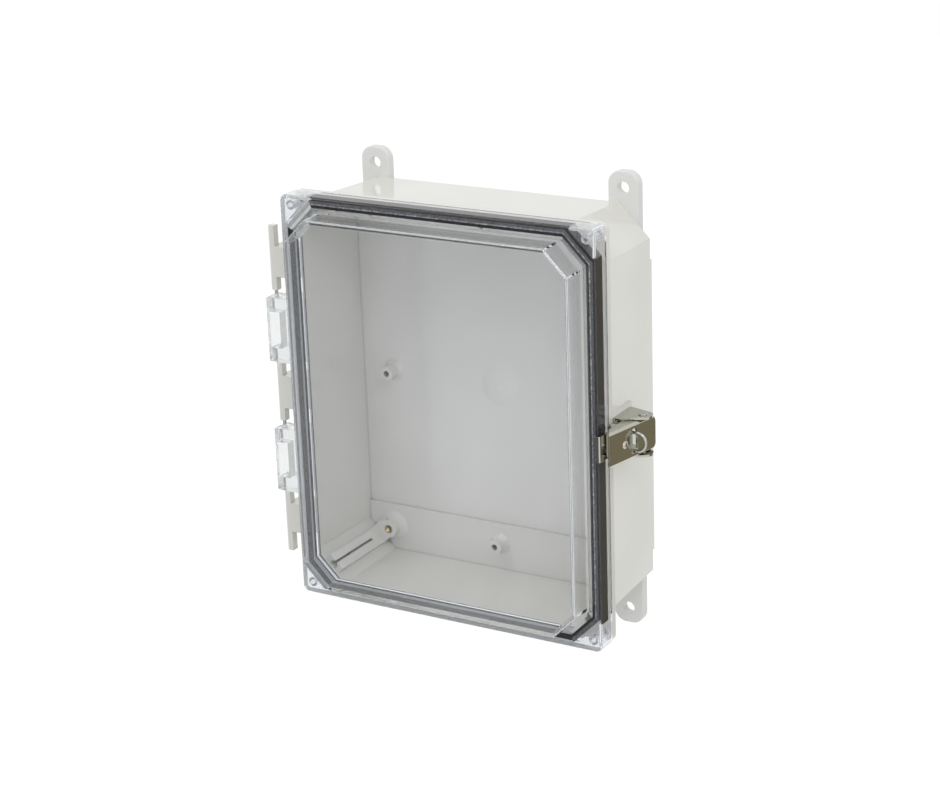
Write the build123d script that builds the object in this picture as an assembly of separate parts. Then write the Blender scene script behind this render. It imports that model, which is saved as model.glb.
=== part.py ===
from build123d import *
import os
from math import sqrt

# Polycarbonate wall enclosure with a hinged clear cover and a steel draw latch.
# X runs to the right, Z runs up, the wall is the plane Y = 0 and the front faces -Y.
# The origin is the centre of the four fixing holes in the feet. Millimetres.

# Main sizes of the enclosure
cover_width = 239.0
cover_height = 290.0
base_depth = 69.3
skirt_depth = 14.9
plateau_raise = 15.7
foot_thick = 6.0
panel_raise = 2.5
lid_gap = 0.3

# Moulded walls and corners
wall = 3.0
cover_wall = 3.0
cover_corner_r = 5.0
edge_r = 1.0
body_draft = 3.2
body_side_inset = 0.8
body_end_inset = 1.6
body_leg = 24.3
rim_inset = 0.45
rim_thick = 5.5
panel_end_inset = 42.0

# Raised plateau of the cover
plateau_inset = 11.0
plateau_draft = 1.0
plateau_leg = 17.5
plateau_edge_r = 1.2

# Gasket channel, its foam gasket and the sealing rib that meets it
channel_leg = 19.5
channel_width = 4.7
channel_rib = 2.5
channel_depth = 8.0
corner_rib = 2.0
gasket_depth = 7.2
gasket_clear = 0.15
sealing_rib = 1.8
sealing_gap = 0.3
corner_boss_r = 3.5
corner_boss_inset = 7.4
corner_hole_r = 1.7
rim_hole_r = 2.2

# Corner posts, mounting bosses and brass inserts inside the base. The bosses are placed from
# the sides and ends of the cover.
post_setback = 1.8
post_width = 13.6
post_face = 5.6
post_hole_r = 2.9
post_hole_back = 3.5
post_hole_depth = 20.0
post_slot = 1.7
post_slot_depth = 47.0
boss_height = 8.5
boss_r = 6.6
boss_side_inset = 27.5
boss_end_inset = 25.5
boss_skirt_r = 11.3
boss_skirt_height = 3.0
insert_r = 3.4
insert_length = 7.0
insert_bore_r = 2.1
insert_groove = 0.4
insert_groove_width = 1.4
side_boss_inset = 32.0
end_boss_inset = 27.0
end_boss_x = -3.2
pilot_boss_r = 5.2
pilot_boss_skirt_r = 7.8
pilot_hole_r = 2.2
gate_dish_r = 15.0
gate_dish_height = 2.0

# Feet and their screws, placed from the sides and ends of the cover
foot_side_inset = 23.0
foot_hole_out = 5.0
foot_hole_r = 4.35
foot_width = 22.5
foot_end = 11.3
foot_corner_r = 9.0
foot_gap = 0.3
foot_screw_inset = 18.5
foot_screw_r = 2.0
foot_screw_head_r = 4.2
foot_screw_head = 2.4
foot_screw_bite = 8.0
screw_clear = 0.2

# Hinge rail on the base, hinge blocks on the cover and the pins between them
rail_reach = 17.5
rail_bar = 5.2
rail_edge_r = 1.7
rail_front = 8.0
rail_end_inset = 25.5
rail_web_clear = 0.8
rail_notch = 9.5
rail_end_notch = 14.5
pin_r = 1.3
pin_length = 18.0
pin_in_block = 8.6
hinge_clear = 0.05
press_clear = 0.01
block_length = 46.0
block_z = 47.6
block_gap = 3.2
block_depth = 14.0
block_wall = 2.9
block_neck = 6.1
block_end = 10.0
block_corner_r = 2.0
spigot_r = 5.0
spigot_back = 8.5
spigot_end = 4.1

# Draw latch: places are measured out from the cover's side and back from its front
latch_pivot_out = 14.0
latch_pivot_back = 35.6
claw_pivot_out = 3.5
claw_pivot_back = 12.5
sheet = 1.5
lever_half = 11.9
lever_front_out = 9.6
lever_front_back = -3.9
lever_rear_out = 19.2
lever_rear_back = 43.6
lever_corner_r = 1.8
lever_bend_r = 2.4
lever_edge_out = 5.2
lever_pivot_lobe = 5.6
lever_claw_lobe = 3.0
slot_back = 21.4
slot_width = 7.4
slot_height = 17.5
dimple_back = 13.0
dimple_r = 2.6
dimple_height = 0.9
bracket_thick = 1.6
ear_thick = 1.5
ear_gap = 0.3
ear_front_back = 20.8
ear_rear_back = 46.0
ear_lobe = 6.8
latch_pin_r = 2.0
latch_pin_head_r = 3.2
latch_pin_head = 0.8
claw_half = 8.75
claw_drop = 0.7
claw_thick = 1.6
claw_bend_r = 1.3
claw_side_clear = 0.5
claw_eye_r = 3.0
claw_pin_r = 1.3
claw_pin_head_r = 2.0
claw_pin_head = 0.6
nose_overlap = 1.8
nose_clear = 0.3
running_clear = 0.08
staple_back = 22.3
staple_half = 6.2
staple_drop = 0.8
staple_wire_r = 1.0
staple_bend_out = 16.4
pad_half_height = 17.0
pad_length = 28.0
bracket_screw_back = 30.0
bracket_screw_z = 7.4
bracket_screw_r = 1.9
bracket_screw_head_r = 3.4
bracket_screw_head = 2.0
bracket_screw_bite = 7.0
bracket_boss_r = 4.2
bracket_boss_length = 8.0

# Levels along Y, from the wall to the front of the plateau
back_y = -foot_thick
panel_y = back_y + panel_raise
rim_y = back_y - base_depth
skirt_back_y = rim_y - lid_gap
flange_y = skirt_back_y - skirt_depth
plateau_y = flange_y - plateau_raise
floor_y = back_y - wall
boss_y = floor_y - boss_height
channel_y = flange_y + cover_wall
channel_end_y = channel_y + channel_depth

# Half sizes seen from the front
half_w = cover_width / 2
half_h = cover_height / 2
rim_half_w = half_w - rim_inset
rim_half_h = half_h - rim_inset
body_half_w = half_w - body_side_inset
body_half_h = half_h - body_end_inset
channel_half_w = half_w - cover_wall
channel_half_h = half_h - cover_wall
panel_half_height = half_h - panel_end_inset
rail_half_height = half_h - rail_end_inset
boss_x = half_w - boss_side_inset
boss_z = half_h - boss_end_inset
side_boss_x = half_w - side_boss_inset
end_boss_z = half_h - end_boss_inset
foot_x = half_w - foot_side_inset
foot_hole_z = half_h + foot_hole_out
foot_screw_z = half_h - foot_screw_inset

# An inset octagon loses this share of the inset from its corner legs
leg_share = 2 - sqrt(2)


def across(y):
    """Plane across Y that looks to the front."""
    return Plane(origin=(0, y, 0), x_dir=(1, 0, 0), z_dir=(0, -1, 0))


def octagon(y, width, height, leg, inset=0.0):
    """Rectangle with four 45 degree corners, drawn in by the inset."""
    w = width - inset
    h = height - inset
    cut = leg - inset * leg_share
    points = []
    for sx, sz in ((1, 1), (-1, 1), (-1, -1), (1, -1)):
        side_point = (sx * w, sz * (h - cut))
        end_point = (sx * (w - cut), sz * h)
        points += [side_point, end_point] if sx * sz > 0 else [end_point, side_point]
    return across(y) * Polygon(*points, align=None)


def body_octagon(y, inset=0.0):
    """Outline of the base at a depth, with its moulding draft."""
    drawn_in = body_draft * (y - rim_y) / (panel_y - rim_y)
    return octagon(y, body_half_w, body_half_h, body_leg, inset + drawn_in)


def channel_octagon(y, inset=0.0):
    """Outline that runs round the gasket channel."""
    return octagon(y, channel_half_w, channel_half_h, channel_leg, inset)


def rounded_block(y_back, y_front, inset, radius):
    """Flat rounded block as wide and high as the cover, less an inset."""
    outline = RectangleRounded(2 * (half_w - inset), 2 * (half_h - inset), radius)
    return extrude(across(y_back) * outline, y_back - y_front)


def channel_ring(y_back, y_front, outer_inset, inner_inset):
    """Eight-sided ring that follows the gasket channel."""
    outline = channel_octagon(y_back, outer_inset) - channel_octagon(y_back, inner_inset)
    return extrude(outline, y_back - y_front)


def rod_y(x, z, radius, y_back, y_front):
    """Round rod along Y."""
    return extrude(across(y_back) * Pos(x, z) * Circle(radius), y_back - y_front)


def rod_z(x, y, radius, z_low, z_high):
    """Round rod along Z."""
    return extrude(Pos(x, y, z_low) * Circle(radius), z_high - z_low)


def rod_x(y, z, radius, x_low, x_high):
    """Round rod along X."""
    end = Plane(origin=(x_low, y, z), x_dir=(0, 1, 0), z_dir=(1, 0, 0))
    return extrude(end * Circle(radius), x_high - x_low)


def span_box(x0, x1, y0, y1, z0, z1):
    """Box between two corners."""
    centre = ((x0 + x1) / 2, (y0 + y1) / 2, (z0 + z1) / 2)
    return Pos(*centre) * Box(abs(x1 - x0), abs(y1 - y0), abs(z1 - z0))


def upright(outline, z_low, z_high):
    """Outline drawn in X and Y, raised between two heights."""
    return extrude(Pos(0, 0, z_low) * outline, z_high - z_low)


def in_corners(piece):
    """The piece in all four corners."""
    right = [piece, mirror(piece, about=Plane.XY)]
    return right + [mirror(one, about=Plane.YZ) for one in right]


def front_edges(piece, y):
    """Edges of a piece that lie in a plane across Y."""
    return [edge for edge in piece.edges() if all(abs(v.Y - y) < 1e-4 for v in edge.vertices())]


def save(name, *solids):
    """Write one node with its separate solids."""
    shape = solids[0] if len(solids) == 1 else Compound(children=list(solids))
    export_step(shape, f"parts/{name}.step")


# Base: a drafted eight-sided box with a full rim and proud middle panel
def base_body():
    outer = loft([body_octagon(rim_y), body_octagon(panel_y)], ruled=True)
    strip_height = half_h - panel_half_height
    for side in (1, -1):
        z0 = side * panel_half_height
        outer -= span_box(-half_w, half_w, back_y, 0, z0, z0 + side * strip_height)
    return outer


def base_hollow():
    hollow = loft([body_octagon(rim_y, wall), body_octagon(panel_y, wall)], ruled=True)
    hollow -= span_box(-half_w, half_w, panel_y - wall, 0, -half_h, half_h)
    strip_height = half_h - panel_half_height
    for side in (1, -1):
        z0 = side * panel_half_height
        hollow -= span_box(-half_w, half_w, floor_y, 0, z0, z0 + side * strip_height)
    return hollow


def rim():
    frame = rounded_block(rim_y + rim_thick, rim_y, rim_inset, cover_corner_r)
    opening = extrude(channel_octagon(rim_y + rim_thick, channel_width), rim_thick)
    frame -= opening
    for x in (half_w - corner_boss_inset, corner_boss_inset - half_w):
        for z in (half_h - corner_boss_inset, corner_boss_inset - half_h):
            frame -= rod_y(x, z, rim_hole_r, rim_y + rim_thick, rim_y)
    return frame


def sealing_ridge():
    middle = channel_width / 2
    tip_y = channel_y + gasket_clear + gasket_depth + sealing_gap
    return channel_ring(rim_y, tip_y, middle - sealing_rib / 2, middle + sealing_rib / 2)


# Corner posts stand along the 45 degree corners and carry a webbed boss
def diagonal_box(reach_in, reach_out, width, y_back, y_front):
    """Box across the corner, between two distances in from the rim's 45 degree side."""
    side = body_half_w + body_half_h - body_leg
    middle = (body_half_w - body_half_h) / 2
    centre = (side - (reach_in + reach_out) / sqrt(2)) / 2
    box = Rot(0, -45, 0) * Box(abs(reach_out - reach_in), y_back - y_front, width)
    return Pos(centre + middle, (y_back + y_front) / 2, centre - middle) * box


def post_axis():
    """Place of the hole along a corner post."""
    side = body_half_w + body_half_h - body_leg
    middle = (body_half_w - body_half_h) / 2
    centre = (side - sqrt(2) * (wall + post_face - post_hole_back)) / 2
    return centre + middle, centre - middle


def corner_post():
    x, z = post_axis()
    front = rim_y + post_setback
    face = wall + post_face
    post = diagonal_box(face, 0, post_width, floor_y, front)
    web = diagonal_box(face - wall, boss_web_reach(), post_width, floor_y, boss_y)
    boss = rod_y(boss_x, boss_z, boss_r, floor_y, boss_y)
    skirt_plane = across(floor_y) * Pos(boss_x, boss_z)
    skirt = loft([
        skirt_plane * Circle(boss_skirt_r),
        skirt_plane * Pos(0, 0, boss_skirt_height) * Circle(boss_r),
    ])
    hole = rod_y(x, z, post_hole_r, front + post_hole_depth, front)
    slot = diagonal_box(face + post_slot, face - post_hole_back, post_slot, front + post_slot_depth, front)
    pocket = rod_y(boss_x, boss_z, insert_r + press_clear, boss_y + insert_length, boss_y)
    return post + web + boss + skirt - hole - slot - pocket


def boss_web_reach():
    """Distance in from the rim's corner side to the middle of the insert boss."""
    side = body_half_w + body_half_h - body_leg
    return (side - boss_x - boss_z) / sqrt(2)


def pilot_boss(x, z, foot_y):
    """Low boss with a blind pilot hole and a spread foot."""
    boss = rod_y(x, z, pilot_boss_r, foot_y, boss_y)
    plane = across(foot_y) * Pos(x, z)
    spread = loft([
        plane * Circle(pilot_boss_skirt_r),
        plane * Pos(0, 0, boss_skirt_height) * Circle(pilot_boss_r),
    ])
    return boss + spread - rod_y(x, z, pilot_hole_r, foot_y, boss_y)


def gate_dish(y):
    """Shallow dome left by the moulding gate, on a disc as thick as the dome is high."""
    sphere_r = (gate_dish_r ** 2 + gate_dish_height ** 2) / (2 * gate_dish_height)
    half_r = gate_dish_r / 2
    half_rise = sqrt(sphere_r ** 2 - half_r ** 2) - sphere_r + gate_dish_height
    top = (0, y - gate_dish_height)
    lip = (gate_dish_r, y)
    outline = Polyline(top, (0, y + gate_dish_height), (gate_dish_r, y + gate_dish_height), lip)
    outline += ThreePointArc(lip, (half_r, y - half_rise), top)
    return revolve(make_face(outline), Axis.Y)


# Hinge rail: a knuckle bar on webs, broken where the hinge blocks sit
def rail_segment(z_low, z_high, low_notch, high_notch):
    left = -half_w - rail_reach
    front = flange_y + rail_front
    back = front + rail_bar
    bar = span_box(left, left + rail_bar, front, back, z_low, z_high)
    round_edges = [edge for edge in bar.edges().filter_by(Axis.Z) if edge.center().X < left + rail_bar / 2]
    bar = fillet(round_edges, rail_edge_r)
    z0 = z_low + low_notch
    z1 = z_high - high_notch
    web = span_box(left + rail_bar / 2, -half_w - rail_web_clear, front, rim_y + rim_thick, z0, z1)
    root = span_box(left + rail_bar, -body_half_w, rim_y, rim_y + rim_thick, z0, z1)
    return bar + web + root


def hinge_axis():
    """Place of the hinge pins, seen from above."""
    return -half_w - rail_reach + rail_bar / 2, flange_y + rail_front + rail_bar / 2


def hinge_rail():
    inner = block_z - block_length / 2 - block_gap
    outer = block_z + block_length / 2 + block_gap
    rail = rail_segment(-inner, inner, rail_notch, rail_notch)
    rail += rail_segment(outer, rail_half_height, rail_notch, rail_end_notch)
    rail += rail_segment(-rail_half_height, -outer, rail_end_notch, rail_notch)
    for pin in hinge_pin_spans():
        rail -= rod_z(*hinge_axis(), pin_r + press_clear, *pin)
    return rail


def hinge_pin_spans():
    """Lower and upper end of each hinge pin."""
    spans = []
    for centre in (block_z, -block_z):
        for end in (1, -1):
            inside = centre + end * (block_length / 2 - pin_in_block)
            spans.append(tuple(sorted((inside, inside + end * pin_length))))
    return spans


# Flat pad on the right wall that carries the latch bracket
def latch_pad():
    front = rim_y + rim_thick
    back = front + pad_length
    return span_box(half_w - 2 * wall, rim_half_w, front, back, -pad_half_height, pad_half_height)


def bracket_screw_places():
    y = flange_y + bracket_screw_back
    return [(y, bracket_screw_z), (y, -bracket_screw_z)]


def base_shell():
    body = base_body()
    shell = body + rim() + latch_pad()
    shell -= base_hollow()
    shell = shell - extrude(channel_octagon(rim_y + rim_thick, channel_width), rim_thick)
    shell += sealing_ridge()
    inside = body + rim()
    for post in in_corners(corner_post()):
        shell += post & inside
    for side in (1, -1):
        shell += pilot_boss(side * side_boss_x, 0, panel_y - wall)
        shell += pilot_boss(end_boss_x, side * end_boss_z, floor_y)
    shell += gate_dish(panel_y - wall)
    shell -= gate_dish(panel_y)
    shell += hinge_rail()
    for y, z in bracket_screw_places():
        shell += rod_x(y, z, bracket_boss_r, body_half_w - bracket_boss_length, half_w - wall)
        shell -= rod_x(y, z, bracket_screw_r, rim_half_w - bracket_screw_bite, half_w)
    for x in (foot_x, -foot_x):
        for z in (foot_screw_z, -foot_screw_z):
            shell -= rod_y(x, z, foot_screw_r, back_y, back_y - foot_screw_bite)
    return shell


# Feet: flat tabs seated in the recessed strips at the back
def foot_plate():
    low = panel_half_height + foot_gap
    high = foot_hole_z + foot_end
    outline = Pos(foot_x, (low + high) / 2) * Rectangle(foot_width, high - low)
    tips = [v for v in outline.vertices() if v.Y > foot_hole_z]
    outline = fillet(tips, foot_corner_r)
    plate = extrude(across(0) * outline, foot_thick)
    plate = fillet(front_edges(plate, back_y), edge_r)
    plate -= rod_y(foot_x, foot_hole_z, foot_hole_r, 0, back_y)
    plate -= rod_y(foot_x, foot_screw_z, foot_screw_r + screw_clear, 0, back_y)
    plate -= screw_head_cone(screw_clear)
    return plate


def screw_head_cone(grow):
    plane = across(0) * Pos(foot_x, foot_screw_z)
    return loft([
        plane * Circle(foot_screw_head_r + grow),
        plane * Pos(0, 0, foot_screw_head) * Circle(foot_screw_r + grow),
    ])


def foot_screw():
    sunk = Pos(0, -screw_clear, 0)
    shank = rod_y(foot_x, foot_screw_z, foot_screw_r, -foot_screw_head, back_y - foot_screw_bite)
    return sunk * (screw_head_cone(0) + shank) & span_box(0, half_w, 0, back_y - foot_screw_bite, 0, half_h)


def insert():
    ring = rod_y(boss_x, boss_z, insert_r, boss_y + insert_length, boss_y)
    groove_y = boss_y + (insert_length - insert_groove_width) / 2
    groove = rod_y(boss_x, boss_z, insert_r, groove_y + insert_groove_width, groove_y)
    groove -= rod_y(boss_x, boss_z, insert_r - insert_groove, boss_y + insert_length, boss_y)
    return ring - groove - rod_y(boss_x, boss_z, insert_bore_r, boss_y + insert_length, boss_y)


# Cover: skirt and flange round a raised eight-sided plateau, all one clear moulding
def plateau_octagon(y, inset=0.0):
    drawn_in = plateau_inset + plateau_draft * (flange_y - y) / plateau_raise
    return octagon(y, half_w, half_h, plateau_leg + plateau_inset * leg_share, inset + drawn_in)


def cover():
    flange = rounded_block(skirt_back_y, flange_y, 0, cover_corner_r)
    flange = fillet(front_edges(flange, flange_y), edge_r)
    flange -= rounded_block(skirt_back_y, channel_y, cover_wall, cover_corner_r - cover_wall)
    inside = rounded_block(channel_end_y, flange_y, cover_wall / 2, cover_corner_r - cover_wall / 2)
    corner_ribs = channel_ring(channel_end_y, channel_y, -corner_rib, 0) & inside
    rib = channel_ring(channel_end_y, channel_y, channel_width, channel_width + channel_rib)
    plateau = loft([plateau_octagon(flange_y), plateau_octagon(plateau_y)], ruled=True)
    plateau = fillet(front_edges(plateau, plateau_y), plateau_edge_r)
    shell = flange + corner_ribs + rib + plateau
    hollow_y = plateau_y + cover_wall
    shell -= loft([plateau_octagon(channel_y, cover_wall), plateau_octagon(hollow_y, cover_wall)], ruled=True)
    for boss in in_corners(cover_corner_boss()):
        shell += boss
    for y, z in spigot_places():
        shell -= rod_x(y, z, spigot_r + press_clear, -half_w, cover_wall - half_w)
    return shell


def cover_corner_boss():
    x = half_w - corner_boss_inset
    z = half_h - corner_boss_inset
    boss = rod_y(x, z, corner_boss_r, skirt_back_y, channel_y)
    return boss - rod_y(x, z, corner_hole_r, skirt_back_y, channel_y)


def gasket():
    back = channel_y + gasket_clear + gasket_depth
    ring = channel_ring(back, back - gasket_depth, gasket_clear, channel_width - gasket_clear)
    return fillet(front_edges(ring, back), edge_r)


# Hinge block: a clear frame on the cover's left side that turns on two short pins
def spigot_places():
    y = flange_y + spigot_back
    reach = block_length / 2 - spigot_end
    return [(y, side * block_z + end * reach) for side in (1, -1) for end in (1, -1)]


def hinge_block(side):
    left = -half_w - rail_reach
    low = side * block_z - block_length / 2
    high = side * block_z + block_length / 2
    block = span_box(left, -half_w, flange_y, flange_y + block_depth, low, high)
    outer_edges = [edge for edge in block.edges() if abs(edge.center().X - left) < 1e-4]
    block = fillet(outer_edges, block_corner_r)
    mid = side * block_z
    half = block_length / 2 - block_end
    neck = -half_w - block_neck
    block -= span_box(left + block_wall, neck, flange_y, flange_y + block_depth, mid - half, mid + half)
    for end in (1, -1):
        face = mid + end * block_length / 2
        inner = face - end * (pin_in_block + block_gap / 2)
        block -= rod_z(*hinge_axis(), pin_r + hinge_clear, min(face, inner), max(face, inner))
        block += rod_x(flange_y + spigot_back, face - end * spigot_end, spigot_r, -half_w, cover_wall - half_w)
    return block


def hinge_pins(side):
    spans = hinge_pin_spans()[:2] if side > 0 else hinge_pin_spans()[2:]
    return [rod_z(*hinge_axis(), pin_r, *span) for span in spans]


# Latch places, seen from above
def latch_point(out, back):
    return half_w + out, flange_y + back


def latch_bracket():
    inner = lever_half + ear_gap
    outer = inner + ear_thick
    face_x = rim_half_w
    foot_front = flange_y + ear_front_back
    foot_back = flange_y + ear_rear_back
    plate = span_box(face_x, face_x + bracket_thick, foot_front, foot_back, -outer, outer)
    px, py = latch_point(latch_pivot_out, latch_pivot_back)
    strip = Pos(face_x + bracket_thick / 2, (foot_front + foot_back) / 2) * Rectangle(
        bracket_thick, foot_back - foot_front
    )
    outline = make_hull((strip + Pos(px, py) * Circle(ear_lobe)).edges())
    bracket = plate + upright(outline, inner, outer) + upright(outline, -outer, -inner)
    bracket -= rod_z(px, py, latch_pin_r + press_clear, -outer, outer)
    for y, z in bracket_screw_places():
        bracket -= rod_x(y, z, bracket_screw_r + screw_clear, face_x, face_x + bracket_thick)
    staple_y = flange_y + staple_back
    for z in (staple_half - staple_drop, -staple_half - staple_drop):
        bracket -= rod_x(staple_y, z, staple_wire_r + press_clear, face_x, face_x + bracket_thick)
    return bracket


def bracket_screws():
    seat = rim_half_w + bracket_thick
    screws = []
    for y, z in bracket_screw_places():
        head = rod_x(y, z, bracket_screw_head_r, seat, seat + bracket_screw_head)
        head = fillet(head.edges().sort_by(Axis.X)[-1], bracket_screw_head / 2)
        shank = rod_x(y, z, bracket_screw_r, rim_half_w - bracket_screw_bite, seat)
        screws.append(head + shank)
    return screws


def latch_pin():
    x, y = latch_point(latch_pivot_out, latch_pivot_back)
    reach = lever_half + ear_gap + ear_thick
    pin = rod_z(x, y, latch_pin_r, -reach, reach)
    for side in (1, -1):
        tip = side * (reach + latch_pin_head)
        pin += rod_z(x, y, latch_pin_head_r, min(side * reach, tip), max(side * reach, tip))
    return fillet(pin.edges().group_by(Axis.Z)[0] + pin.edges().group_by(Axis.Z)[-1], latch_pin_head / 2)


def padlock_staple():
    y = flange_y + staple_back
    start = rim_half_w
    bend = half_w + staple_bend_out
    tip = bend + staple_half
    path = Polyline((start, y, staple_half), (bend, y, staple_half))
    path += ThreePointArc((bend, y, staple_half), (tip, y, 0), (bend, y, -staple_half))
    path += Line((bend, y, -staple_half), (start, y, -staple_half))
    end = Plane(origin=(start, y, staple_half), x_dir=(0, 1, 0), z_dir=(1, 0, 0))
    return Pos(0, 0, -staple_drop) * sweep(end * Circle(staple_wire_r), path=path)


# Latch lever: a pressed channel, deep at its pivots and slotted for the staple
def lever_side_outline():
    """Side of the lever with its lobes, seen from above."""
    front = latch_point(lever_front_out, lever_front_back)
    rear = latch_point(lever_rear_out, lever_rear_back)
    edge_rear = latch_point(lever_edge_out, latch_pivot_back)
    edge_front = latch_point(lever_edge_out, lever_front_back + lever_edge_out + sheet)
    pivot_lobe = Pos(*latch_point(latch_pivot_out, latch_pivot_back)) * Circle(lever_pivot_lobe)
    outline = Polygon(front, rear, edge_rear, edge_front, align=None) + pivot_lobe + claw_lobe()
    return outline & wall_side(0)


def lever():
    channel = upright(lever_side_outline(), -lever_half, lever_half)
    rear_y = flange_y + lever_rear_back
    long = lever_rear_back - lever_front_back
    face_plane = Plane(origin=(half_w, rear_y - long / 2, 0), x_dir=(0, 1, 0), z_dir=(1, 0, 0))
    face = Rectangle(long, 2 * lever_half)
    face = fillet([v for v in face.vertices() if v.X > 0], lever_corner_r)
    channel &= extrude(face_plane * face, 2 * lever_rear_out)
    channel = fillet([edge for edge in channel.edges() if is_lever_bend(edge)], lever_bend_r)
    channel -= upright(wall_side(sheet), sheet - lever_half, lever_half - sheet)
    channel -= slot_tool()
    channel = channel + dimple(0) - dimple(sheet)
    for out, back, pin in (
        (latch_pivot_out, latch_pivot_back, latch_pin_r + running_clear),
        (claw_pivot_out, claw_pivot_back, claw_pin_r + press_clear),
    ):
        channel -= rod_z(*latch_point(out, back), pin, -lever_half, lever_half)
    return channel


def is_lever_bend(edge):
    """True for an edge that runs back along the lever's face."""
    points = [edge.position_at(share) for share in (0, 0.5, 1)]
    backs = [point.Y - flange_y for point in points]
    on_face = all(abs(p.X - half_w - face_out(b)) < 1e-3 for p, b in zip(points, backs))
    return on_face and max(backs) - min(backs) > sheet


def claw_lobe():
    """Lobe of the lever's sides round the claw pin, run out to the face."""
    x, y = latch_point(claw_pivot_out, claw_pivot_back)
    reach = lever_edge_out - claw_pivot_out + sheet
    return Pos(x, y) * Circle(lever_claw_lobe) + Pos(x + reach / 2, y) * Rectangle(reach, 2 * lever_claw_lobe)


def face_slope():
    """How far the lever's face leans out for each millimetre back."""
    return (lever_rear_out - lever_front_out) / (lever_rear_back - lever_front_back)


def face_out(back):
    """Outside of the lever's face at a distance back."""
    return lever_front_out + face_slope() * (back - lever_front_back)


def wall_side(drawn_in):
    """Everything on the wall side of the lever's face, drawn in by a thickness."""
    lean = drawn_in * sqrt(1 + face_slope() ** 2)
    ends = [(face_out(b) - lean, b) for b in (lever_front_back - sheet, lever_rear_back + sheet)]
    wall_ends = [(-sheet, b) for out, b in ends]
    return Polygon(*(latch_point(*end) for end in ends + wall_ends[::-1]), align=None)


def slot_tool():
    x, y = latch_point(face_out(slot_back), slot_back)
    plane = Plane(origin=(x - 2 * sheet, y, 0), x_dir=(0, 0, 1), z_dir=(1, 0, 0))
    return extrude(plane * SlotOverall(slot_height, slot_width), 4 * sheet)


def dimple(drawn_in):
    """Ball whose front stands out of the lever's face; the drawn in one hollows it."""
    ball_r = (dimple_r ** 2 + dimple_height ** 2) / (2 * dimple_height)
    x, y = latch_point(face_out(dimple_back), dimple_back)
    ball = Pos(x + dimple_height - ball_r, y, 0) * Rot(0, 0, 180) * Sphere(ball_r - drawn_in)
    return ball if drawn_in else ball - upright(wall_side(sheet), -lever_half, lever_half)


def claw():
    x, y = latch_point(claw_pivot_out, claw_pivot_back)
    inner = half_w + claw_side_clear
    outer = inner + claw_thick
    tip_x = half_w - nose_overlap
    nose_back = flange_y - nose_clear
    nose_front = nose_back - claw_thick
    strip = Pos((inner + outer) / 2, (nose_front + y) / 2) * Rectangle(claw_thick, y - nose_front)
    nose = Pos((tip_x + outer) / 2, nose_back - claw_thick / 2) * Rectangle(outer - tip_x, claw_thick)
    hook = strip + nose
    bend = [v for v in hook.vertices() if v.X > outer - 1e-4 and v.Y < nose_front + 1e-4]
    hook = fillet(bend, claw_bend_r)
    hook += Pos(x, y) * Circle(claw_eye_r)
    hook -= Pos(x, y) * Circle(claw_pin_r + running_clear)
    return upright(hook, -claw_half - claw_drop, claw_half - claw_drop)


def claw_pin():
    x, y = latch_point(claw_pivot_out, claw_pivot_back)
    pin = rod_z(x, y, claw_pin_r, -lever_half, lever_half)
    for side in (1, -1):
        tip = side * (lever_half + claw_pin_head)
        pin += rod_z(x, y, claw_pin_head_r, min(side * lever_half, tip), max(side * lever_half, tip))
    return pin


os.makedirs("parts", exist_ok=True)
save("base_shell", base_shell())
save("cover", cover())
save("gasket", gasket())

# Feet and what repeats in the four corners
corner_names = ("top_right", "bottom_right", "top_left", "bottom_left")
for corner, foot in zip(corner_names, in_corners(foot_plate())):
    save(f"mounting_foot_{corner}", foot)
save("foot_screws", *in_corners(foot_screw()))
save("brass_inserts", *in_corners(insert()))

# Hinge
for place, side in (("upper", 1), ("lower", -1)):
    save(f"hinge_block_{place}", hinge_block(side))
    save(f"hinge_pins_{place}", *hinge_pins(side))

# Latch
save("latch_bracket", latch_bracket())
save("bracket_screws", *bracket_screws())
save("latch_pivot_pin", latch_pin())
save("padlock_staple", padlock_staple())
save("latch_lever", lever())
save("latch_claw", claw())
save("claw_pin", claw_pin())
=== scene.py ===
import math
import bmesh
import bpy
from mathutils import Matrix, Vector


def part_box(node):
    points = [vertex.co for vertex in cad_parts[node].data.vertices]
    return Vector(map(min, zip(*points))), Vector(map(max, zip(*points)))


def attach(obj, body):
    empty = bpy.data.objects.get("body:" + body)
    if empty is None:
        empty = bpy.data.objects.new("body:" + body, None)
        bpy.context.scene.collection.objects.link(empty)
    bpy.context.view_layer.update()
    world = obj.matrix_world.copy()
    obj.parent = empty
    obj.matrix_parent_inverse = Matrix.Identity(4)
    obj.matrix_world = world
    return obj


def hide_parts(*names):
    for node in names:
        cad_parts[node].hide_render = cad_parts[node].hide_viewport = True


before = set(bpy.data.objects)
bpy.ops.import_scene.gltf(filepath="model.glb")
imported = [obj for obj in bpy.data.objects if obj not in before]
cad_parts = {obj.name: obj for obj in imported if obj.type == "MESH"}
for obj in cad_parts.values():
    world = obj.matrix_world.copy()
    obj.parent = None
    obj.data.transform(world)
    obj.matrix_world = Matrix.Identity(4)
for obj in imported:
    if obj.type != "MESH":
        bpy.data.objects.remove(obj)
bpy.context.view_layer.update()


# Base of the enclosure: one injection moulding in opaque light grey polycarbonate, with the
# rim, the hinge rail, the corner posts and the bosses all in one. It comes from a polished
# mould, so it mirrors its feet at a low angle.
def linear(hex_colour):
    """sRGB hex to linear colour with alpha 1."""
    parts = [int(hex_colour[i:i + 2], 16) / 255 for i in (1, 3, 5)]
    return [p / 12.92 if p <= 0.04045 else ((p + 0.055) / 1.055) ** 2.4 for p in parts] + [1.0]


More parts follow.
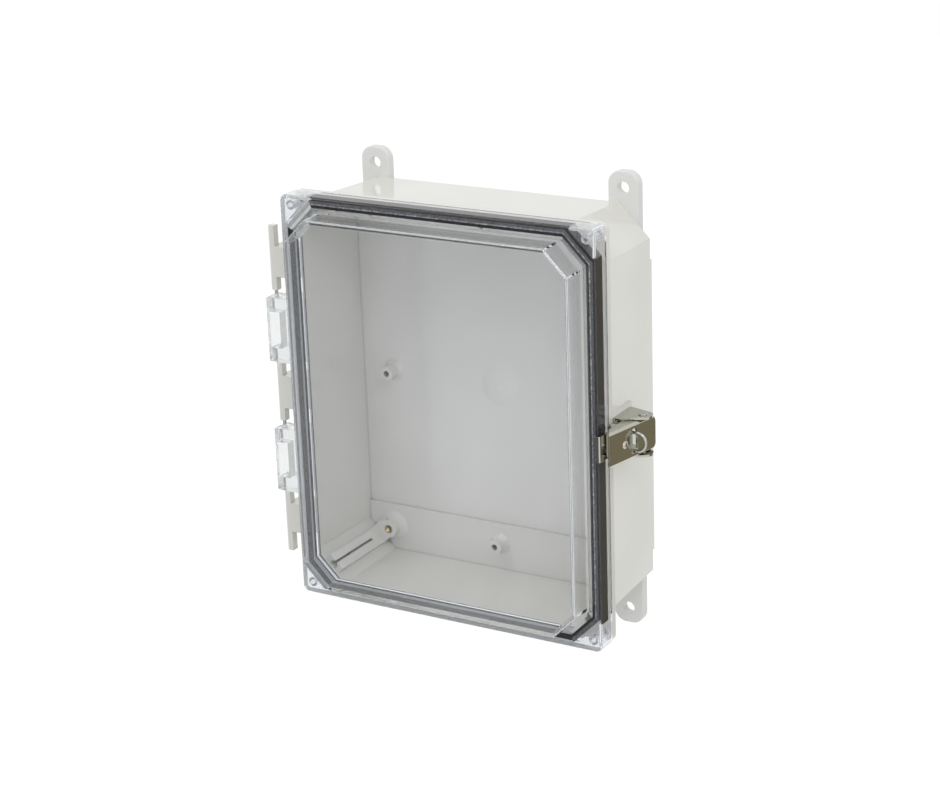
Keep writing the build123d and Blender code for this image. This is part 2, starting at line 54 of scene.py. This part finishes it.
def add(tree, kind, inputs=None, **settings):
    """Adds one shader node with its settings; an input is a value or another node's socket."""
    node = tree.nodes.new("ShaderNode" + kind)
    for name, value in settings.items():
        setattr(node, name, value)
    for name, value in (inputs or {}).items():
        if isinstance(value, bpy.types.NodeSocket):
            tree.links.new(value, node.inputs[name])
        else:
            node.inputs[name].default_value = value
    return node


def new_material(name):
    """Empty material and its node tree."""
    material = bpy.data.materials.new(name)
    material.use_nodes = True
    material.node_tree.nodes.clear()
    return material, material.node_tree


def moulded_polycarbonate(name, light, dark, roughness):
    """Opaque moulded polycarbonate: faint flow shading 70 mm across and a fine mould grain,
    with painted shade darkening the colour in the depths of narrow slots, holes and corners."""
    material, tree = new_material(name)
    place = add(tree, "TexCoord").outputs["Object"]
    flow = add(tree, "TexNoise", {"Vector": place, "Scale": 1 / 0.070, "Detail": 2.0})
    tone = add(tree, "ValToRGB", {"Fac": flow.outputs["Fac"]})
    tone.color_ramp.elements[0].position = 0.35
    tone.color_ramp.elements[0].color = linear(dark)
    tone.color_ramp.elements[1].position = 0.65
    tone.color_ramp.elements[1].color = linear(light)
    # Painted shade: an occlusion term darkens the base colour in narrow slots, holes and inner
    # corners.
    occlusion_for_painted_shade = add(tree, "AmbientOcclusion", {"Distance": 0.006}, samples=4,
                    only_local=True)
    shade = add(tree, "MapRange", {"Value": occlusion_for_painted_shade.outputs["AO"], "From Min": 0.15,
                                   "From Max": 0.50, "To Min": 0.30, "To Max": 1.0})
    shaded = add(tree, "HueSaturation", {"Color": tone.outputs["Color"],
                                         "Value": shade.outputs["Result"]})
    # The real grain is near 0.2 mm and too fine to show, so it is drawn at 1.2 mm.
    grain = add(tree, "TexNoise", {"Vector": place, "Scale": 1 / 0.0012, "Detail": 3.0})
    gloss = add(tree, "MapRange", {"Value": grain.outputs["Fac"], "To Min": roughness - 0.02,
                                   "To Max": roughness + 0.02})
    edge = add(tree, "Bevel", {"Radius": 0.0005}, samples=4)
    bump = add(tree, "Bump", {"Height": grain.outputs["Fac"], "Strength": 0.05,
                              "Distance": 0.00002, "Normal": edge.outputs["Normal"]})
    skin = add(tree, "BsdfPrincipled", {
        "Base Color": shaded.outputs["Color"], "Roughness": gloss.outputs["Result"],
        "IOR": 1.585, "Normal": bump.outputs["Normal"]})
    add(tree, "OutputMaterial", {"Surface": skin.outputs["BSDF"]})
    return material


def dress(material, *names):
    """Gives CAD nodes their finish."""
    for name in names:
        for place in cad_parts[name].material_slots:
            place.material = material


base_grey = moulded_polycarbonate("glossy_grey_polycarbonate", "#ECEBE5", "#E7E6E0", 0.07)
dress(base_grey, "base_shell")


# Mounting feet: four flat grey polycarbonate tabs, moulded apart from the base in a slightly
# cooler grey. Each lies in the recess at the back and is held by one screw.
foot_grey = moulded_polycarbonate("satin_grey_polycarbonate", "#EDEEEC", "#E8E9E7", 0.34)
dress(foot_grey, "mounting_foot_top_right", "mounting_foot_bottom_right",
      "mounting_foot_top_left", "mounting_foot_bottom_left")


# Fixing screws: zinc-plated steel, turned and then plated, so they are grey and half dull.
# The four foot screws are countersunk and the two bracket screws have pan heads, all with a
# cross recess. They replace the plain CAD screws.
def metal(name, light, dark, roughness, grain_m, stretch=(1, 1, 1)):
    """Bare or plated metal with grain lines of one width, longer along the smaller stretch."""
    material, tree = new_material(name)
    place = add(tree, "TexCoord").outputs["Object"]
    turned = add(tree, "Mapping", {"Vector": place, "Scale": stretch})
    grain = add(tree, "TexNoise", {"Vector": turned.outputs["Vector"], "Scale": 1 / grain_m,
                                   "Detail": 4.0})
    tone = add(tree, "ValToRGB", {"Fac": grain.outputs["Fac"]})
    tone.color_ramp.elements[0].position = 0.3
    tone.color_ramp.elements[0].color = linear(dark)
    tone.color_ramp.elements[1].position = 0.7
    tone.color_ramp.elements[1].color = linear(light)
    gloss = add(tree, "MapRange", {"Value": grain.outputs["Fac"], "To Min": roughness - 0.04,
                                   "To Max": roughness + 0.06})
    edge = add(tree, "Bevel", {"Radius": 0.0002}, samples=4)
    bump = add(tree, "Bump", {"Height": grain.outputs["Fac"], "Strength": 0.15,
                              "Distance": 0.00003, "Normal": edge.outputs["Normal"]})
    skin = add(tree, "BsdfPrincipled", {
        "Base Color": tone.outputs["Color"], "Metallic": 1.0,
        "Roughness": gloss.outputs["Result"], "Normal": bump.outputs["Normal"]})
    add(tree, "OutputMaterial", {"Surface": skin.outputs["BSDF"]})
    return material


zinc_steel = metal("zinc_plated_steel", "#B9B9B4", "#9B9B97", 0.34, 0.0004)


def new_piece(bm, name, material, body, node, places):
    """Copies one bmesh to its places as a single piece that stands for a CAD node."""
    bmesh.ops.remove_doubles(bm, verts=bm.verts, dist=1e-7)
    bmesh.ops.recalc_face_normals(bm, faces=bm.faces)
    one = bpy.data.meshes.new(name + "_one")
    bm.to_mesh(one)
    bm.clear()
    for place in places:
        copy = one.copy()
        copy.transform(place)
        bm.from_mesh(copy)
        bpy.data.meshes.remove(copy)
    mesh = bpy.data.meshes.new(name)
    bm.to_mesh(mesh)
    bm.free()
    bpy.data.meshes.remove(one)
    mesh.materials.append(material)
    piece = bpy.data.objects.new(name, mesh)
    bpy.context.collection.objects.link(piece)
    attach(piece, body)
    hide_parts(node)
    return piece


def spun(bm, profile, steps):
    """Spins a line of (radius, height) points once round the Z axis."""
    line = [bm.verts.new((r, 0, z)) for r, z in profile]
    edges = [bm.edges.new(pair) for pair in zip(line, line[1:])]
    bmesh.ops.spin(bm, geom=line + edges, cent=(0, 0, 0), axis=(0, 0, 1), angle=math.tau,
                   steps=steps, use_merge=True)


def cross_recess_screw(profile, recess_r, recess_depth):
    """Screw along +Z with its head's top at 0: a spun profile, from the head's rim down to the
    tip, closed by a top with a cross recess."""
    bm = bmesh.new()
    spun(bm, profile, 32)
    rim = [e for e in bm.edges
           if len(e.link_faces) == 1 and all(abs(v.co.z) < 1e-7 for v in e.verts)]
    arm_half = recess_r * 0.22
    floor_share = 0.45
    corners = []
    for quarter in range(4):
        spot = Matrix.Rotation(quarter * math.pi / 2, 3, "Z")
        for x, y in ((recess_r, -arm_half), (recess_r, arm_half), (arm_half, arm_half)):
            corners.append(bm.verts.new(spot @ Vector((x, y, 0))))
    cross = [bm.edges.new(pair) for pair in zip(corners, corners[1:] + corners[:1])]
    bmesh.ops.triangle_fill(bm, edges=rim + cross, use_beauty=True)
    cross = [e for e in cross if e.is_valid]
    grown = bmesh.ops.extrude_edge_only(bm, edges=cross)["geom"]
    for v in [g for g in grown if isinstance(g, bmesh.types.BMVert)]:
        v.co = (v.co.x * floor_share, v.co.y * floor_share, -recess_depth)
    bmesh.ops.contextual_create(bm, geom=[g for g in grown if isinstance(g, bmesh.types.BMEdge)])
    return bm


def screw_thread(head_low, thread_r, core_r, pitch, tip):
    """Profile of a rolled thread from under the head down to a blunt tip."""
    turns = int((head_low - tip) / pitch)
    points = []
    for turn in range(turns):
        z = head_low - turn * pitch
        points += [(core_r, z - pitch * 0.15), (thread_r, z - pitch * 0.5),
                   (core_r, z - pitch * 0.85)]
    return points + [(core_r * 0.6, tip), (0.0, tip)]


low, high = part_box("foot_screws")
head_r = 0.0042
shank_r = 0.0020
head_depth = 0.0024
core_share = 0.76
screw_pitch = 0.0011
profile = [(head_r, 0.0), (shank_r, -head_depth)]
profile += screw_thread(-head_depth, shank_r, shank_r * core_share, screw_pitch, low.y - high.y)
# Each screw has stopped at its own turn.
places = [
    Matrix.Translation((sx * (high.x - head_r), high.y, sz * (high.z - head_r)))
    @ Matrix.Rotation(math.radians(-90), 4, "X") @ Matrix.Rotation(0.35 * sx + 0.6 * sz, 4, "Z")
    for sx in (1, -1) for sz in (1, -1)]
new_piece(cross_recess_screw(profile, 0.0022, 0.0012), "foot_screws_cross_recess", zinc_steel,
          "base", "foot_screws", places)

low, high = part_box("bracket_screws")
pan_r = 0.0034
pan_height = 0.0020
pan_shank_r = 0.0019
thread_start = -pan_height - 0.0018
profile = [(pan_r * 0.62, 0.0), (pan_r * 0.86, -pan_height * 0.18), (pan_r, -pan_height * 0.5),
           (pan_r, -pan_height), (pan_shank_r, -pan_height), (pan_shank_r, thread_start)]
profile += screw_thread(thread_start, pan_shank_r, pan_shank_r * core_share, screw_pitch,
                        low.x - high.x)
places = [
    Matrix.Translation((high.x, (low.y + high.y) / 2, sz * (high.z - pan_r)))
    @ Matrix.Rotation(math.radians(90), 4, "Y") @ Matrix.Rotation(0.5 + 0.7 * sz, 4, "Z")
    for sz in (1, -1)]
new_piece(cross_recess_screw(profile, 0.0019, 0.0011), "bracket_screws_cross_recess", zinc_steel,
          "base", "bracket_screws", places)


# Brass inserts: four turned brass nuts with an M5 thread, pressed into the corner bosses.
# Turned brass is yellow and bright, with dark thread flanks. They replace the plain rings.
turned_brass = metal("turned_brass", "#E4D2A4", "#A08650", 0.10, 0.0003)
low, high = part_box("brass_inserts")
insert_r = 0.0034
bore_r = 0.0021
thread_depth = 0.00035
thread_pitch = 0.0007
insert_length = high.y - low.y
profile = [(bore_r + thread_depth, 0.0)]
for turn in range(int(insert_length / thread_pitch + 0.5)):
    z = -turn * thread_pitch
    profile += [(bore_r, z - thread_pitch * 0.5), (bore_r + thread_depth, z - thread_pitch)]
profile += [
    (insert_r - 0.0003, -insert_length), (insert_r, -insert_length + 0.0003),
    (insert_r, -insert_length * 0.6), (insert_r - 0.0004, -insert_length * 0.58),
    (insert_r - 0.0004, -insert_length * 0.42), (insert_r, -insert_length * 0.4),
    (insert_r, -0.0003), (insert_r - 0.0003, 0.0), (bore_r + thread_depth, 0.0)]
bm = bmesh.new()
spun(bm, profile, 36)
places = [
    Matrix.Translation((sx * (high.x - insert_r), low.y, sz * (high.z - insert_r)))
    @ Matrix.Rotation(math.radians(90), 4, "X")
    for sx in (1, -1) for sz in (1, -1)]
new_piece(bm, "threaded_brass_inserts", turned_brass, "base", "brass_inserts",
          places)


# Hinge pins: short ground steel dowels, four in all, pressed in the base's rail.
# Their free ends carry the hinge blocks. Ground steel is bright with a fine even grain.
ground_steel = metal("ground_steel_dowel", "#C6C7C6", "#A9AAAA", 0.20, 0.0004, (1, 1, 0.1))
dress(ground_steel, "hinge_pins_upper", "hinge_pins_lower")


# Cover and hinge blocks: clear polycarbonate, moulded against polished steel, so both faces
# are glossy with a slight waviness. The blocks are moulded apart and pegged to the skirt.
def clear_polycarbonate(name, tint, roughness, haze):
    """Clear glossy polycarbonate with the faint waves of a moulded sheet, 25 mm long, and a
    share of milky haze. It lets lamp light through, and a ray caught in a wall ends in a painted
    pale glow."""
    material, tree = new_material(name)
    place = add(tree, "TexCoord").outputs["Object"]
    waves = add(tree, "TexNoise", {"Vector": place, "Scale": 1 / 0.025, "Detail": 1.0})
    bump = add(tree, "Bump", {"Height": waves.outputs["Fac"], "Strength": 0.2, "Distance": 0.0001})
    clear = add(tree, "BsdfPrincipled", {
        "Base Color": linear(tint), "Roughness": roughness, "IOR": 1.585,
        "Transmission Weight": 1.0, "Normal": bump.outputs["Normal"]})
    milk = add(tree, "BsdfTranslucent", {"Color": linear("#FBFCFD")})
    hazy = add(tree, "MixShader", {0: haze, 1: clear.outputs["BSDF"], 2: milk.outputs["BSDF"]})
    open_way = add(tree, "BsdfTransparent", {"Color": linear("#F7F8F9")})
    path = add(tree, "LightPath")
    lit = add(tree, "MixShader", {0: path.outputs["Is Shadow Ray"], 1: hazy.outputs[0],
                                  2: open_way.outputs["BSDF"]})
    # Light mirrored three times inside a wall, or sent on by seven surfaces, would be dropped
    # and leave the edges black; such rays get a painted pale glow instead.
    turned = add(tree, "Math", {0: path.outputs["Glossy Depth"], 1: 2.5}, operation="GREATER_THAN")
    lost = add(tree, "Math", {0: path.outputs["Ray Depth"], 1: 6.5}, operation="GREATER_THAN")
    caught = add(tree, "Math", {0: turned.outputs[0], 1: lost.outputs[0]}, operation="MAXIMUM")
    # Painted light: a pale glow that is no lamp stands in for the light lost inside the wall.
    painted_pale_glow = add(tree, "Emission", {"Color": linear("#D2D6D8"), "Strength": 1.0})
    mix = add(tree, "MixShader", {0: caught.outputs[0], 1: lit.outputs[0], 2: painted_pale_glow.outputs[0]})
    add(tree, "OutputMaterial", {"Surface": mix.outputs[0]})
    return material


cover_clear = clear_polycarbonate("clear_cover_polycarbonate", "#F6F7FB", 0.01, 0.0)
block_clear = clear_polycarbonate("clear_hinge_polycarbonate", "#F8FAFB", 0.12, 0.20)
dress(cover_clear, "cover")
dress(block_clear, "hinge_block_upper", "hinge_block_lower")


# Gasket: a ring of black closed-cell foam poured into the cover's channel and left to rise.
# Above and on the right it wets the clear plastic, so it shows black right through it, with
# a line of fine bubbles whose light specks are a painted highlight. On the left and below a
# silvery film of air lies beside it, and its reflection is painted into the foam's colour.
def poured_foam(name, dark, light, speck_m):
    """Matt foam, pitted by cells 0.7 mm across, with lighter specks of one size."""
    material, tree = new_material(name)
    place = add(tree, "TexCoord").outputs["Object"]
    cells = add(tree, "TexVoronoi", {"Vector": place, "Scale": 1 / 0.0007})
    speck = add(tree, "TexNoise", {"Vector": place, "Scale": 1 / speck_m, "Detail": 3.0})
    tone = add(tree, "ValToRGB", {"Fac": speck.outputs["Fac"]})
    tone.color_ramp.elements[0].position = 0.45
    tone.color_ramp.elements[0].color = linear(dark)
    tone.color_ramp.elements[1].position = 0.70
    tone.color_ramp.elements[1].color = linear(light)
    pits = add(tree, "Bump", {"Height": cells.outputs["Distance"], "Strength": 0.5,
                              "Distance": 0.0002})
    skin = add(tree, "BsdfPrincipled", {"Base Color": tone.outputs["Color"], "Roughness": 0.85,
                                        "Normal": pits.outputs["Normal"]})
    add(tree, "OutputMaterial", {"Surface": skin.outputs["BSDF"]})
    return material


low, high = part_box("gasket")
foam_gap = 0.00015
foam_bite = 0.00005
channel_half_w = high.x + foam_gap
channel_half_h = high.z + foam_gap
channel_leg = 0.0195
channel_width = 0.0047
foam_depth = high.y - low.y + foam_gap
bubble_half = 0.0004
film_start = 0.0019
lip = 0.0006
# The ring's section as (inset from the channel's outer wall, depth from its floor), with a
# lip where the foam has climbed the outer wall.
section = [
    (-foam_bite, -foam_bite), (channel_width * 0.25, -foam_bite),
    (channel_width / 2 - bubble_half, -foam_bite), (channel_width / 2 + bubble_half, -foam_bite),
    (channel_width + foam_bite, -foam_bite), (channel_width + foam_bite, film_start),
    (channel_width + foam_bite, foam_depth * 0.94),
    (channel_width * 0.92, foam_depth * 0.98), (channel_width * 0.70, foam_depth * 0.995),
    (channel_width * 0.5, foam_depth), (channel_width * 0.26, foam_depth * 0.995),
    (channel_width * 0.10, foam_depth + lip * 0.4), (-foam_bite, foam_depth + lip)]
corner_turn = math.pi / 8
ring_r = 0.1
bm = bmesh.new()
spot_in_section = bm.verts.layers.int.new("spot_in_section")
ring_line = []
for place, (inset, depth) in enumerate(section):
    r = ring_r - inset / math.cos(corner_turn)
    v = bm.verts.new((r * math.cos(corner_turn), low.y - foam_gap + depth,
                      r * math.sin(corner_turn)))
    v[spot_in_section] = place
    ring_line.append(v)
edges = [bm.edges.new(pair) for pair in zip(ring_line, ring_line[1:] + ring_line[:1])]
bmesh.ops.spin(bm, geom=ring_line + edges, cent=(0, 0, 0), axis=(0, 1, 0), angle=math.tau,
               steps=8, use_merge=True)
bmesh.ops.remove_doubles(bm, verts=bm.verts, dist=1e-7)
# The even eight-sided ring is pulled out to the channel's corners.
side_corner = Vector((channel_half_w, 0, channel_half_h - channel_leg))
end_corner = Vector((channel_half_w - channel_leg, 0, channel_half_h))
for v in bm.verts:
    near_side = abs(v.co.x) > abs(v.co.z)
    start = Vector((math.cos(corner_turn), 0, math.sin(corner_turn))) * ring_r
    if not near_side:
        start = Vector((start.z, 0, start.x))
    move = (side_corner if near_side else end_corner) - start
    v.co.x += math.copysign(move.x, v.co.x)
    v.co.z += math.copysign(move.z, v.co.z)
# Each strip of the section gets the finish that it has on that side of the ring; the pale
# finishes are painted reflection of the air film.
painted_film_reflection, bubbles_painted_highlight, speckle, painted_bright_reflection = 1, 2, 3, 4
last = len(section) - 1
right_start = 0.05
end_start = 0.1
# The bubble strip's near-white specks are a painted highlight along the middle of the ring.
wet = {(0, 1): speckle, (1, 2): speckle, (2, 3): bubbles_painted_highlight}
lower_right = {(0, 1): speckle, (1, 2): speckle, (2, 3): speckle}
lower_left = {(0, last): painted_film_reflection, (0, 1): painted_film_reflection, (5, 6): painted_film_reflection}
upper_left = {(3, 4): painted_bright_reflection, (4, 5): painted_bright_reflection, (5, 6): painted_bright_reflection}
for face in bm.faces:
    strip = tuple(sorted({v[spot_in_section] for v in face.verts}))
    spot = face.calc_center_median()
    on_right = spot.x > right_start and spot.z > -end_start
    on_top = spot.z > end_start and spot.x > -right_start
    if on_right or on_top:
        face.material_index = wet.get(strip, 0)
    elif spot.z > end_start:
        face.material_index = upper_left.get(strip, painted_film_reflection)
    elif spot.x > right_start:
        face.material_index = lower_right.get(strip, 0)
    else:
        face.material_index = lower_left.get(strip, 0)
foam = poured_foam("black_foam", "#222224", "#3E3E40", 0.0011)
foam_ring = new_piece(bm, "poured_foam_gasket", foam, "door", "gasket",
                      [Matrix.Identity(4)])
# The pale finishes paint the air film's reflection, and the light specks of the bubbles a painted
# highlight.
for finish in (("foam_painted_silvery_reflection", "#C2C4C6", "#DADCDD", 0.0011),
               ("foam_bubbles_painted_highlight", "#86868C", "#E4E6E8", 0.0016),
               ("speckled_foam", "#5E5E61", "#919194", 0.0009),
               ("foam_painted_bright_reflection", "#F0F2F3", "#FBFCFC", 0.0011)):
    foam_ring.data.materials.append(poured_foam(*finish))


# Draw latch: pressed from polished stainless strip, with a drawn wire staple and riveted
# pins. Rolled and polished stainless mirrors the room softly, with faint lines along it.
polished_stainless = metal("polished_stainless", "#BEBDB2", "#B2B1A5", 0.10, 0.0005, (1, 0.08, 1))
drawn_wire = metal("drawn_stainless_wire", "#C4C4C0", "#A8A8A4", 0.16, 0.0004)
dress(polished_stainless, "latch_bracket", "latch_lever", "latch_claw")
dress(drawn_wire, "padlock_staple", "latch_pivot_pin", "claw_pin")


# Studio: a pale floor well below, as where the enclosure hangs on a wall, a soft lamp above on
# the left, weaker ones on the right, in front and below, and an even world. The camera,
# mirrors and clear plastic see a white background, with the shadow on the floor.
def white_background(tree, lit):
    """Mixes a lit shader with a whiter one for what the eye, mirrors and clear parts see."""
    path = add(tree, "LightPath")
    mirror = add(tree, "Math", {0: path.outputs["Is Glossy Ray"],
                                1: path.outputs["Is Transmission Ray"]}, operation="MAXIMUM")
    seen = add(tree, "Math", {0: path.outputs["Is Camera Ray"], 1: mirror.outputs[0]},
               operation="MAXIMUM")
    return add(tree, "MixShader", {0: seen.outputs[0], 1: lit})


world = bpy.data.worlds.new("even_studio")
bpy.context.scene.world = world
world.use_nodes = True
tree = world.node_tree
tree.nodes.clear()
even = add(tree, "Background", {"Color": linear("#F6F7F8"), "Strength": 0.76})
white = add(tree, "Background", {"Color": linear("#FFFFFF"), "Strength": 1.0})
mix = white_background(tree, even.outputs[0])
tree.links.new(white.outputs[0], mix.inputs[2])
add(tree, "OutputWorld", {"Surface": mix.outputs[0]})

floor_paint, tree = new_material("pale_floor")
matt = add(tree, "BsdfDiffuse", {"Color": linear("#E4E4E2")})
glow = add(tree, "Emission", {"Color": linear("#FFFFFF"), "Strength": 0.5})
white = add(tree, "AddShader", {0: matt.outputs[0], 1: glow.outputs[0]})
mix = white_background(tree, matt.outputs[0])
tree.links.new(white.outputs[0], mix.inputs[2])
add(tree, "OutputMaterial", {"Surface": mix.outputs[0]})
bm = bmesh.new()
bmesh.ops.create_grid(bm, x_segments=1, y_segments=1, size=8.0)
floor_drop = 1.3
bmesh.ops.translate(bm, verts=bm.verts, vec=(0, 0, -floor_drop))
mesh = bpy.data.meshes.new("floor")
bm.to_mesh(mesh)
bm.free()
mesh.materials.append(floor_paint)
floor = bpy.data.objects.new("floor", mesh)
bpy.context.collection.objects.link(floor)


def soft_lamp(name, spot, size, power, tint):
    """Square soft lamp that looks at the enclosure's middle."""
    middle = Vector((0, -0.05, 0))
    lamp = bpy.data.lights.new(name, "AREA")
    lamp.size = size
    lamp.energy = power
    lamp.color = linear(tint)[:3]
    holder = bpy.data.objects.new(name, lamp)
    holder.location = spot
    holder.rotation_euler = (middle - Vector(spot)).to_track_quat("-Z", "Y").to_euler()
    bpy.context.collection.objects.link(holder)


soft_lamp("key_lamp", (-0.5, -0.9, 1.6), 0.7, 4.2, "#FFFBF0")
soft_lamp("side_lamp", (1.7, -0.6, 0.5), 0.9, 1.7, "#FFFAEC")
soft_lamp("spark_lamp", (0.78, -0.92, 1.05), 0.25, 2.2, "#FFFFFF")
soft_lamp("low_lamp", (-0.2, -1.5, -0.40), 0.6, 0.5, "#F2F7FF")
soft_lamp("front_lamp", (-0.5, -1.9, 0.3), 1.2, 0.5, "#DCEBFF")


def dark_card(name, spot, half, colour):
    """Square card that faces the enclosure and is seen by mirrors alone."""
    card_paint, tree = new_material(name + "_paint")
    glow = add(tree, "Emission", {"Color": linear(colour), "Strength": 1.0})
    add(tree, "OutputMaterial", {"Surface": glow.outputs[0]})
    bm = bmesh.new()
    bmesh.ops.create_grid(bm, x_segments=1, y_segments=1, size=half)
    turn = (Vector((0.0, -0.08, 0)) - Vector(spot)).to_track_quat("Z", "Y").to_matrix().to_4x4()
    bmesh.ops.transform(bm, matrix=Matrix.Translation(spot) @ turn, verts=bm.verts)
    mesh = bpy.data.meshes.new(name)
    bm.to_mesh(mesh)
    bm.free()
    mesh.materials.append(card_paint)
    card = bpy.data.objects.new(name, mesh)
    bpy.context.collection.objects.link(card)
    card.visible_camera = False
    card.visible_diffuse = False
    card.visible_transmission = False
    card.visible_shadow = False


# The polished lever shows a brown side of the room behind on the right, and the claw and the
# cover's gloss show its dark front side.
dark_card("brown_card", (0.563, 0.294, -0.205), 0.28, "#948C78")
dark_card("front_card", (-0.40, -0.82, -0.26), 0.34, "#6E6E70")


# Camera: at the photograph's place, worked out from the corners of the enclosure. It looks
# down from the right of the front and is rolled a little.
azimuth = math.radians(31.05)
elevation = math.radians(18.77)
roll = math.radians(-2.09)
back = Vector((math.sin(azimuth) * math.cos(elevation), -math.cos(azimuth) * math.cos(elevation),
               math.sin(elevation)))
right = Vector((math.cos(azimuth), math.sin(azimuth), 0))
up = back.cross(right)
rolled_right = math.cos(roll) * right + math.sin(roll) * up
rolled_up = math.cos(roll) * up - math.sin(roll) * right
camera = bpy.data.cameras.new("camera")
camera.sensor_width = 36.0
camera.lens = 90.1
camera.clip_end = 20.0
eye = bpy.data.objects.new("camera", camera)
looked_at = Vector((0.0245, -0.0905, 0.0232))
distance = 1.5503
turn = Matrix((rolled_right, rolled_up, back)).transposed().to_4x4()
eye.matrix_world = Matrix.Translation(looked_at + distance * back) @ turn
bpy.context.collection.objects.link(eye)
bpy.context.scene.camera = eye
bpy.context.scene.view_settings.view_transform = "Standard"
